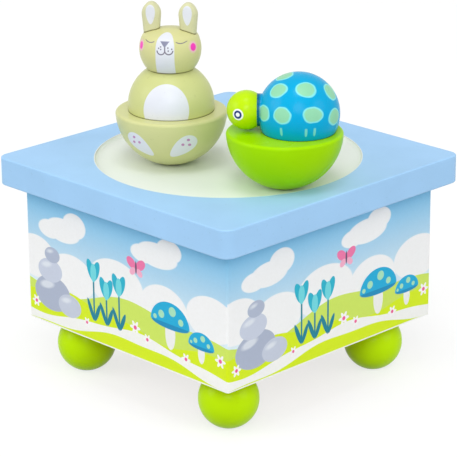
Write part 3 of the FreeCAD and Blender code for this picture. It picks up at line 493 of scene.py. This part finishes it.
def toadstools(finish, base, v, at):
    for x, y, wide in TOADSTOOLS:
        stalk = oval(finish, at, (x, y - wide * 0.35), (wide * 0.26, wide * 0.62))
        base = finish.paint(base, tone(240, 241, 238), stalk)
        cap = oval(finish, at, (x, y), (wide, wide * 0.82)) * beyond(v, y)
        gills = oval(finish, at, (x, y), (wide * 0.97, wide * 0.2))
        base = finish.paint(base, tone(0, 140, 190), gills)
        base = finish.paint(base, tone(12, 172, 218), cap)
        dots = [disc(finish, at, (x + a * wide, y + b * wide), c * wide) for a, b, c in CAP_DOTS]
        base = finish.paint(base, tone(168, 226, 190), any_of(dots))
    return base


print("stones, tulips, toadstools:", len(STONES), len(TULIPS), len(TOADSTOOLS))

# %% Daisies and a butterfly
DAISIES = ((5.5, 11.0, 2.6), (11.5, 8.2, 2.1), (30.5, 6.5, 2.2),
           (47.0, 10.5, 2.5), (-46.5, 7.0, 2.2), (-19.5, 6.0, 1.9))
BUTTERFLY = (6.5, 33.0)


def daisies(finish, base, at):
    for x, y, size in DAISIES:
        from_heart = finish.vector("SUBTRACT", at, (x, y, 0.0))
        a, b, _ = finish.split(from_heart)
        petal = (b.math("ARCTAN2", a) * 6.0).math("COSINE") * (0.24 * size) + 0.76 * size
        past_edge = finish.vector("LENGTH", from_heart) - petal
        base = finish.paint(base, tone(250, 250, 250), inside(past_edge, 0.0))
        base = finish.paint(base, tone(236, 96, 152), disc(finish, at, (x, y), size * 0.3))
    return base


def butterfly(finish, base, at):
    x, y = BUTTERFLY
    wings = [oval(finish, at, (x + s * 2.3, y + 1.3), (2.6, 1.7), s * 0.6) for s in (-1, 1)]
    tails = [oval(finish, at, (x + s * 1.7, y - 1.6), (1.7, 1.2), s * -0.7) for s in (-1, 1)]
    base = finish.paint(base, tone(240, 120, 170), any_of(wings))
    base = finish.paint(base, tone(246, 176, 204), any_of(tails))
    return finish.paint(base, tone(92, 80, 110), oval(finish, at, (x, y), (0.4, 2.3)))


print("daisies:", len(DAISIES), "and a butterfly at", BUTTERFLY)

# %% The wrap's finish, with the lap of the strip on the back wall
LAP_X = -38.0
BACK_Y = 40.0


def wrap_finish():
    finish = new_finish("printed_wrap_satin")
    u, v = strip_point(finish)
    at = finish.flat(u, v)
    ink = land(finish, u, v, at)
    ink = stones(finish, ink, at)
    ink = tulips(finish, ink, u, v, at)
    ink = toadstools(finish, ink, v, at)
    ink = daisies(finish, ink, at)
    ink = butterfly(finish, ink, at)
    where = finish.point()
    x, y, _ = finish.split(where)
    at_back = beyond(y, BACK_Y)
    lap = near(x, LAP_X, 0.12, 0.15) * at_back
    over = inside(x, LAP_X, 0.2) * at_back
    # A thin darker line along the lap: the cut edge of the paper with a painted shadow beside it.
    ink = finish.shade(ink, tone(186, 186, 182), lap)
    fibre = finish.noise(where, 1.1, 4.0)
    sockets = {"Base Color": finish.shade(ink, tone(242, 241, 238), fibre * 0.5)}
    sockets["Roughness"] = fibre * 0.16 + 0.3
    sockets["Normal"] = finish.bump(fibre * 0.5 + over, 0.12, 0.15)
    sockets.update({"Coat Weight": 0.06, "Coat Roughness": 0.22, "Specular IOR Level": 0.25})
    return finish.surface(sockets)


print_paper = wrap_finish()
print("wrap nodes:", len(print_paper.node_tree.nodes))

# %% [markdown]
# ## The rabbit
# The rabbit is a stack of turned balls with two flat ears. Its coat is a soft sage, and
# the belly, paws, inner ears and muzzle are painted white by hand. The figure has its own
# frame: forward, to its left, and up, so a motif is placed once and mirrored with the
# absolute value of the sideways distance.

# %% The rabbit's own frame
RABBIT_AXIS = (-11.5822, -16.0591, 0.0)
RABBIT_FACING = math.radians(-54.4)
WHITE = tone(227, 230, 239)
LINE = tone(122, 116, 132)
# Dark olive for the rings at the joints: partly pooled varnish, partly painted shade in the gaps.
SEAM_AND_SHADE = tone(104, 98, 44)


def rabbit_frame(finish):
    ahead, left, height = finish.split(finish.point(RABBIT_AXIS, RABBIT_FACING))
    return ahead, left, height, abs(left)


def drop(finish, point, centre, half, turn, taper):
    """A teardrop: an oval whose width grows towards one end."""
    along, side, _ = finish.split(in_oval(finish, point, centre, half, turn))
    width = along * taper + 1.0
    shape = finish.flat(along, side.math("DIVIDE", width))
    return inside(finish.vector("LENGTH", shape), 1.0, SOFT / min(half))


def joint_varnish_and_shade(finish, plan, height, centre, radius, level):
    """A thin dark ring where one turned piece stands on another, partly pooled varnish and partly painted
    shade in the gap.
    """
    return near(apart(finish, plan, centre), radius, 0.16, 0.3) * near(height, level, 0.3, 0.3)


print("rabbit stands at", RABBIT_AXIS[:2])

# %% Rabbit base and paws
PAW_SHIFT = 0.5
SOLE = ((7.3, 89.1), (5.7, 2.75), math.radians(41.6), 0.34)
PADS = ((9.5, 91.9), (9.7, 89.9), (7.6, 90.2))
BODY_SEAT = ((0.0, 0.0), 14.75, 97.8)
FIGURE_ROUGH = 0.3


def rabbit_base_finish():
    finish = new_finish("rabbit_base_enamel")
    ahead, left, height, _ = rabbit_frame(finish)
    at = finish.flat(abs(left + PAW_SHIFT), height)
    front = beyond(ahead, 0.0)
    pads = [disc(finish, at, centre, 0.52) for centre in PADS]
    coat = finish.paint(tone(212, 214, 152), WHITE, drop(finish, at, *SOLE) * front)
    coat = finish.paint(coat, tone(196, 142, 190), any_of(pads) * front)
    # A dark ring at the body's seat: pooled varnish and painted shade of the joint.
    line = joint_varnish_and_shade(finish, finish.flat(ahead, left), height, *BODY_SEAT)
    return enamel(finish, finish.paint(coat, SEAM_AND_SHADE, line), FIGURE_ROUGH)


rabbit_base = rabbit_base_finish()
print("rabbit base nodes:", len(rabbit_base.node_tree.nodes))

# %% Rabbit body and belly
BELLY = ((0.8, 101.0), (7.8, 8.8))
HEAD_SEAT = ((0.0, 0.0), 7.6, 112.5)


def rabbit_body_finish():
    finish = new_finish("rabbit_body_enamel")
    ahead, left, height, _ = rabbit_frame(finish)
    patch = oval(finish, finish.flat(left, height), *BELLY)
    coat = finish.paint(tone(206, 211, 142), WHITE, patch * beyond(ahead, 0.0))
    # A dark ring at the head's seat: pooled varnish and painted shade of the joint.
    line = joint_varnish_and_shade(finish, finish.flat(ahead, left), height, *HEAD_SEAT)
    return enamel(finish, finish.paint(coat, SEAM_AND_SHADE, line), FIGURE_ROUGH)


rabbit_body = rabbit_body_finish()
print("rabbit body nodes:", len(rabbit_body.node_tree.nodes))

# %% Rabbit head: muzzle, nose, mouth, eyes and cheeks
MOUTH = (((-1.2, 121.35), 1.36, 121.3, 0.2), ((1.5, 121.45), 1.38, 121.4, 0.2))
LIDS = ((5.45, 126.5), 2.93, 124.1, 0.14)
DOTS = ((-2.0, 122.1), (-1.25, 121.75), (-1.3, 122.6), (1.2, 122.3), (1.35, 121.3), (2.5, 121.9))
CHEEK = (5.3, 9.05, 121.7)
NECK_SHADE_TOP = 112.85


def bow(finish, at, centre, radius, top, half):
    """The lower part of a thin circle, below a level."""
    return near(apart(finish, at, centre), radius, half) * inside(finish.split(at)[1], top)


def rabbit_head_finish():
    finish = new_finish("rabbit_head_enamel")
    ahead, left, height, side = rabbit_frame(finish)
    at, even = finish.flat(left, height), finish.flat(side, height)
    crown = ((height - 0.352 * ahead - 118.0) * 0.485).math("MAXIMUM", 0.0)
    stripe = inside(finish.vector("LENGTH", finish.flat(left - 0.1, crown)), 3.25)
    flank = abs(left - 0.05) * 0.8 - (height - 122.3) * 0.62
    nose = inside(flank.math("MAXIMUM", height - 124.4), 0.0, 0.2)
    lip = all_of([near(left, 0.12, 0.2), beyond(height, 121.2), inside(height, 122.8)])
    lines = [bow(finish, at, *half) for half in MOUTH]
    lines += [disc(finish, at, centre, 0.25) for centre in DOTS]
    lines += [lip, bow(finish, even, *LIDS)]
    front = beyond(ahead, 0.0)
    coat = finish.paint(tone(215, 214, 152), WHITE, stripe * front)
    coat = finish.paint(coat, LINE, any_of(lines) * front)
    coat = finish.paint(coat, tone(138, 140, 164), nose * front)
    blush = finish.vector("DISTANCE", finish.flat(ahead, side, height), CHEEK)
    coat = finish.paint(coat, tone(240, 196, 204), inside(blush, 1.9, 0.9))
    coat = finish.paint(coat, tone(250, 66, 190), inside(blush, 1.35, 0.3))
    # The head's lowest rim, under the neck level, is painted dark as painted shade of the neck joint.
    return enamel(finish, finish.paint(coat, SEAM_AND_SHADE, inside(height, NECK_SHADE_TOP, 0.4)), FIGURE_ROUGH)


rabbit_head = rabbit_head_finish()
print("rabbit head nodes:", len(rabbit_head.node_tree.nodes))

# %% Rabbit ears
LINING = ((6.4, 131.6), (3.4, 1.55), math.radians(90.0), 0.3)
CROWN_CENTRE, CROWN_R = (0.0, 0.0, 104.9), 22.0


def rabbit_ear_finish():
    finish = new_finish("rabbit_ear_enamel")
    ahead, left, height, side = rabbit_frame(finish)
    lining = drop(finish, finish.flat(side, height), *LINING)
    coat = finish.paint(tone(213, 213, 170), WHITE, lining * beyond(ahead, 0.0))
    above = finish.vector("DISTANCE", finish.flat(ahead, left, height), CROWN_CENTRE)
    # Where the ear goes into the crown it is painted dark: pooled varnish and painted shade of the joint.
    line = inside(above, CROWN_R + 0.3, 0.4)
    return enamel(finish, finish.paint(coat, SEAM_AND_SHADE, line), FIGURE_ROUGH)


rabbit_ear = rabbit_ear_finish()
print("rabbit ear nodes:", len(rabbit_ear.node_tree.nodes))

# %% [markdown]
# ## The turtle
# The turtle is a lime dome with a blue ball for a shell and a small ball for a head. The
# shell has hand-dabbed pale green spots with a lighter rim. On a ball, a round spot is
# simply everything near one point, so each spot is a distance to a point on the shell.

# %% The turtle's own frame and its base
TURTLE_AXIS = (35.3004, -8.0201, 0.0)
TURTLE_FACING = math.radians(-137.0)
SHELL_SEAT = ((-4.7, 0.0), 12.3, 98.2)


def turtle_frame(finish):
    ahead, left, height = finish.split(finish.point(TURTLE_AXIS, TURTLE_FACING))
    return ahead, left, height, finish.flat(ahead, abs(left), height)


def turtle_base_finish():
    finish = new_finish("turtle_base_enamel")
    ahead, left, height, _ = turtle_frame(finish)
    # A dark green ring at the shell's seat: pooled varnish and painted shade of the joint.
    line = joint_varnish_and_shade(finish, finish.flat(ahead, left), height, *SHELL_SEAT)
    paint = finish.paint(tone(164, 224, 0), tone(30, 84, 40), line)
    return enamel(finish, paint, rough=0.28, coat=0.03, gloss=0.04)


turtle_base = turtle_base_finish()
print("turtle stands at", TURTLE_AXIS[:2])

# %% Turtle head and eye
EYE_AT = (15.5, 6.08, 105.43)
EYE_WHITE, EYE_BLUE = tone(248, 250, 250), tone(18, 52, 120)


def turtle_head_finish():
    finish = new_finish("turtle_head_enamel")
    eye = finish.vector("DISTANCE", turtle_frame(finish)[-1], EYE_AT)
    skin = tone(190, 232, 0)
    for colour, radius in ((EYE_WHITE, 1.95), (EYE_BLUE, 1.42), (EYE_WHITE, 0.72)):
        skin = finish.paint(skin, colour, inside(eye, radius))
    return enamel(finish, skin, rough=0.28)


turtle_head = turtle_head_finish()
print("turtle head nodes:", len(turtle_head.node_tree.nodes))

# %% Shell spots
SHELL_CENTRE = Vector((*SHELL_SEAT[0], 104.4))
SHELL_R = 13.85
SPOTS = ((45.5, 45.2), (107.2, 50.3), (163.0, 36.6), (31.8, 8.1),
         (66.7, 11.1), (111.4, 12.1), (150.6, 3.1), (0.0, 70.0))
TICKS = (20.0, 65.5, 101.0, 113.5, 160.0)
TICK_RISE, TICK_LEVEL = -12.0, 101.4
DAB = Vector((0.9, 0.9, 1.12))
COLLAR_SHADE_FROM = 8.1


def on_shell(turn, rise):
    turn, rise = math.radians(turn), math.radians(rise)
    out = Vector((math.cos(turn) * math.cos(rise), math.sin(turn) * math.cos(rise), math.sin(rise)))
    return SHELL_CENTRE + SHELL_R * out


def turtle_shell_finish():
    finish = new_finish("turtle_shell_enamel")
    ahead, left, height, at = turtle_frame(finish)
    dabbed = finish.vector("MULTIPLY", at, DAB)
    reaches = [finish.vector("DISTANCE", dabbed, on_shell(*place) * DAB) for place in SPOTS]
    spot = reaches[0]
    for reach in reaches[1:]:
        spot = spot.math("MINIMUM", reach)
    spot = spot + finish.noise(at, 0.24, 1.0) * 1.2
    plan = finish.flat(ahead, abs(left))
    ticks = [disc(finish, plan, on_shell(turn, TICK_RISE)[:2], 0.45) for turn in TICKS]
    low = near(height, TICK_LEVEL, 1.5, 0.4)
    shell = finish.paint(tone(0, 169, 220), tone(134, 232, 230), inside(spot, 3.7, 0.3))
    shell = finish.paint(shell, tone(147, 215, 175), inside(spot, 3.2, 0.35))
    shell = finish.paint(shell, tone(120, 216, 214), any_of(ticks) * low)
    # The collar in the groove between head and shell is painted dark blue as painted shade.
    shell = finish.paint(shell, tone(0, 104, 148), beyond(ahead, COLLAR_SHADE_FROM, 0.9))
    return enamel(finish, shell, rough=0.26, gloss=0.08)


turtle_shell = turtle_shell_finish()
print("spots:", len(SPOTS), "and their mirror images")

# %% [markdown]
# ## Bare wood, metal, nylon and magnets
# The inside of the box is bare wood. The movement is steel, brass and a grey casting, with
# a rotor and a worm of white nylon. Wood could be cut from real rings, but inside a closed
# box stretched noise is enough: long along the grain, short across it. Metal is the same
# trick on a finer scale, with the streaks in its roughness as a file leaves them.

# %% Bare wood
def wood_finish(name, light, dark):
    finish = new_finish(name)
    where = finish.point()
    rings = finish.noise(where, 0.22, 4.0, (0.12, 1.0, 1.0))
    pores = finish.noise(where, 1.8, 2.0, (0.05, 1.0, 1.0))
    streak = (rings * 9.0).math("FRACT")
    timber = finish.paint(light, dark, streak * 0.55)
    timber = finish.shade(timber, tone(190, 170, 145), beyond(pores, 0.6, 0.08) * 0.5)
    sockets = {"Base Color": timber, "Roughness": 0.72 - 0.16 * streak}
    sockets["Normal"] = finish.bump(streak * 0.4 + pores, 0.25, 0.15)
    return finish.surface(sockets)


bare_wood = wood_finish("bare_beech", tone(226, 196, 152), tone(196, 158, 112))
dowel_wood = wood_finish("birch_dowel", tone(232, 208, 168), tone(208, 176, 132))
print("woods:", bare_wood.name, dowel_wood.name)


# %% Metals, nylon and magnets
def metal_finish(name, colour, dull, rough, streak=(0.08, 1.0, 1.0)):
    finish = new_finish(name)
    where = finish.point()
    scratch = finish.noise(where, 3.0, 3.0, streak)
    cloud = finish.noise(where, 0.16, 3.0)
    sockets = {"Base Color": finish.paint(colour, dull, cloud), "Metallic": 1.0}
    sockets["Roughness"] = scratch * 0.22 + (rough - 0.1)
    sockets["Normal"] = finish.bump(scratch, 0.06, 0.05)
    return finish.surface(sockets)


def nylon_finish():
    finish = new_finish("white_nylon_moulded")
    where = finish.point()
    cloud = finish.noise(where, 0.1, 2.0)
    sockets = {"Base Color": finish.paint(tone(238, 238, 232), tone(228, 228, 220), cloud)}
    sockets["Roughness"] = cloud * 0.15 + 0.42
    sockets["Normal"] = finish.bump(finish.noise(where, 2.6, 2.0), 0.08, 0.08)
    return finish.surface(sockets)


SCREW_X, SCREW_Y, HEADS_BELOW = 28.8, 39.3, 20.2
CUT_HALF, CUT_REACH = 0.42, 1.7


def screw_finish():
    """Zinc with a cross recess in each of the four heads under the base, the recess painted dark as its
    shade.
    """
    finish = new_finish("zinc_cross_screw")
    where = finish.point()
    x, y, z = finish.split(where)
    a, b = abs(abs(x) - SCREW_X), abs(abs(y) - SCREW_Y)
    long_cut = inside(a, CUT_HALF, 0.2) * inside(b, CUT_REACH, 0.3)
    cross_cut = inside(b, CUT_HALF, 0.2) * inside(a, CUT_REACH, 0.3)
    cut = any_of([long_cut, cross_cut]) * inside(z, HEADS_BELOW, 0.1)
    scratch = finish.noise(where, 3.0, 3.0)
    # The cross recess is painted dark grey: painted shade in the recess.
    sockets = {"Base Color": finish.paint(tone(206, 208, 212), tone(70, 71, 74), cut), "Metallic": 1.0}
    sockets["Roughness"] = scratch * 0.2 + 0.26 + cut * 0.3
    sockets["Normal"] = finish.bump(scratch * 0.1 - cut, 0.9, 0.6)
    return finish.surface(sockets)


cross_screw = screw_finish()
zinc_steel = metal_finish("zinc_steel", tone(206, 208, 212), tone(180, 184, 190), 0.34)
grey_casting = metal_finish("grey_casting", tone(168, 170, 172), tone(140, 143, 147), 0.55, (1.0, 1.0, 1.0))
brass = metal_finish("plain_brass", tone(226, 192, 118), tone(200, 158, 84), 0.3)
spring_steel = metal_finish("blued_spring_steel", tone(120, 130, 152), tone(92, 98, 118), 0.3)
key_plate = metal_finish("brass_plated_key", tone(230, 204, 138), tone(208, 174, 104), 0.26)
magnet = metal_finish("nickel_magnet", tone(196, 196, 198), tone(170, 170, 174), 0.24)
white_nylon = nylon_finish()
print("metals and nylon made")

# %% [markdown]
# ## Dressing the solids
# A solid whose shape is right only needs its finish. Every piece could have a line of its
# own, but a table of finishes and the pieces that wear them is easier to read, and what is
# left over at its end would be a piece in a plain colour.

# %% Which piece wears which finish
WEARS = (
    (plate_blue, "top_plate"),
    (floor_cream, "dance_floor"),
    (print_paper, "printed_wrap"),
    (bare_wood, "front_wall back_wall left_wall right_wall base_board corner_blocks"),
    (dowel_wood, "plate_dowels foot_dowels rabbit_body_dowel rabbit_neck_dowel "
                 "turtle_body_dowel turtle_head_dowel"),
    (foot_lime, "foot_front_left foot_front_right foot_back_left foot_back_right"),
    (rabbit_base, "rabbit_base"),
    (rabbit_body, "rabbit_body"),
    (rabbit_head, "rabbit_head"),
    (rabbit_ear, "rabbit_ear_left rabbit_ear_right"),
    (turtle_base, "turtle_base"),
    (turtle_shell, "turtle_shell"),
    (turtle_head, "turtle_head"),
    (cross_screw, "base_screws"),
    (zinc_steel, "movement_screws bracket_screws comb_screws hub_screws output_shaft "
                 "winding_arbor cylinder_shaft left_bracket right_bracket governor_bracket"),
    (grey_casting, "movement_bedplate comb_rail"),
    (brass, "arbor_bush spring_barrel barrel_cover crown_pinion music_cylinder "
            "cylinder_gear governor_wheel"),
    (spring_steel, "mainspring comb"),
    (key_plate, "winding_key"),
    (white_nylon, "magnet_disc rotor_hub governor_worm"),
    (magnet, "rabbit_carrier_magnet turtle_carrier_magnet rabbit_magnet turtle_magnet"),
)
bare = set(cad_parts)
for finish, names in WEARS:
    for name in names.split():
        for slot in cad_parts[name].material_slots:
            slot.material = finish
        bare.remove(name)
print("dressed", len(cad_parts) - len(bare), "pieces, bare:", sorted(bare))

# %% [markdown]
# ## The winding key
# The key under the box is pressed and plated steel: a sleeve, a web and two loops for the
# fingers. The solid has sharp edges, which no pressed key has, so a softer one replaces
# it. A ring is a small rounded slab spun about an axis, and that one idea makes the sleeve
# and both loops, while the web is a block with its edges bevelled.

# %% A ring spun from a rounded slab
RING_STEPS = 48


def turned(section, steps):
    """Spins a section once round Z, closes the seam and turns the faces outwards."""
    bmesh.ops.spin(section, geom=section.edges[:], cent=(0, 0, 0), axis=(0, 0, 1),
                   angle=2 * math.pi, steps=steps, use_merge=True)
    bmesh.ops.remove_doubles(section, verts=section.verts[:], dist=1e-4)
    bmesh.ops.recalc_face_normals(section, faces=section.faces[:])
    return section


def spun_ring(inner, outer, low, high, soften):
    shape = bmesh.new()
    bmesh.ops.create_grid(shape, x_segments=1, y_segments=1, size=0.5)
    sideways = (outer - inner, 0, 0, (outer + inner) / 2)
    upright = (0, high - low, 0, (high + low) / 2)
    stand = Matrix((sideways, (0, 0, 1, 0), upright, (0, 0, 0, 1)))
    bmesh.ops.transform(shape, matrix=stand, verts=shape.verts)
    bmesh.ops.bevel(shape, geom=shape.verts[:], offset=soften, affect="VERTICES",
                    segments=4, profile=0.5, material=-1)
    bmesh.ops.delete(shape, geom=shape.faces[:], context="FACES_ONLY")
    return turned(shape, RING_STEPS)


print("a ring has", RING_STEPS, "steps")

# %% From millimetres to a finished piece
SHARP_FROM = math.radians(50.0)


def join(target, shape, place):
    """Moves a shape, in millimetres, to its place and adds it to the target in metres."""
    bmesh.ops.transform(shape, matrix=Matrix.Scale(MM, 4) @ place, verts=shape.verts)
    loose = bpy.data.meshes.new("loose")
    shape.to_mesh(loose)
    target.from_mesh(loose)
    bpy.data.meshes.remove(loose)
    shape.free()


def new_piece(name, shape, finish, body):
    mesh = bpy.data.meshes.new(name)
    shape.to_mesh(mesh)
    shape.free()
    mesh.shade_smooth()
    mesh.set_sharp_from_angle(angle=SHARP_FROM)
    mesh.materials.append(finish)
    piece = put(name, mesh)
    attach(piece, body)
    print(name, len(mesh.polygons), "faces")
    return piece


print("edges sharper than", round(math.degrees(SHARP_FROM)), "degrees stay sharp")

# %% Sleeve, web and loops
SLEEVE = (2.01, 3.5, 11.5, 20.0, 0.4)
LOOP = (2.2, 4.8, -0.9, 0.9, 0.6)
LOOP_X, LOOP_Z = 5.4, 8.8
WEB, WEB_Z, WEB_SOFT = (6.6, 1.8, 6.0), 9.6, 0.6
ON_SIDE = Matrix.Rotation(math.radians(90.0), 4, "X")


def softened_block(size, soften):
    shape = bmesh.new()
    bmesh.ops.create_cube(shape, size=1.0, matrix=Matrix.Diagonal((*size, 1.0)))
    bmesh.ops.bevel(shape, geom=shape.edges[:], offset=soften, affect="EDGES",
                    segments=4, profile=0.5, material=-1)
    return shape


key = bmesh.new()
join(key, spun_ring(*SLEEVE), Matrix.Identity(4))
for x in (-LOOP_X, LOOP_X):
    join(key, spun_ring(*LOOP), Matrix.Translation((x, 0.0, LOOP_Z)) @ ON_SIDE)
join(key, softened_block(WEB, WEB_SOFT), Matrix.Translation((0.0, 0.0, WEB_Z)))
soft_key = new_piece("softened_winding_key", key, key_plate, "winder")
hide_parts("winding_key")

# %% [markdown]
# ## The bead round the floor
# Filler and paint close the seam between the floor disc and the plate, so the recess ends
# in a small hollow curve and not in a dark slit. Rounding the disc itself would leave the
# slit open, so the bead is a piece of its own. Spinning one vertex draws the curve, a
# quarter circle, three more edges close the section, and a full spin makes the ring.

# %% A quarter-round bead
BEAD_R, BEAD_OUTER = 1.1, 46.68
BEAD_LOW, BEAD_SUNK = 78.82, 0.2
BEAD_STEPS = 160


def rim_bead():
    inner = BEAD_OUTER - BEAD_R
    shape = bmesh.new()
    first = shape.verts.new((inner, 0.0, BEAD_LOW))
    middle = (inner, 0.0, BEAD_LOW + BEAD_R)
    bmesh.ops.spin(shape, geom=[first], cent=middle, axis=(0, 1, 0), angle=-math.pi / 2, steps=8)
    last = max(shape.verts, key=lambda vert: vert.co.z)
    corners = [shape.verts.new((x, 0.0, BEAD_LOW - BEAD_SUNK)) for x in (BEAD_OUTER, inner)]
    for pair in ((last, corners[0]), corners, (corners[1], first)):
        shape.edges.new(pair)
    return turned(shape, BEAD_STEPS)


bead = bmesh.new()
join(bead, rim_bead(), Matrix.Identity(4))
new_piece("floor_rim_bead", bead, floor_cream, "case")
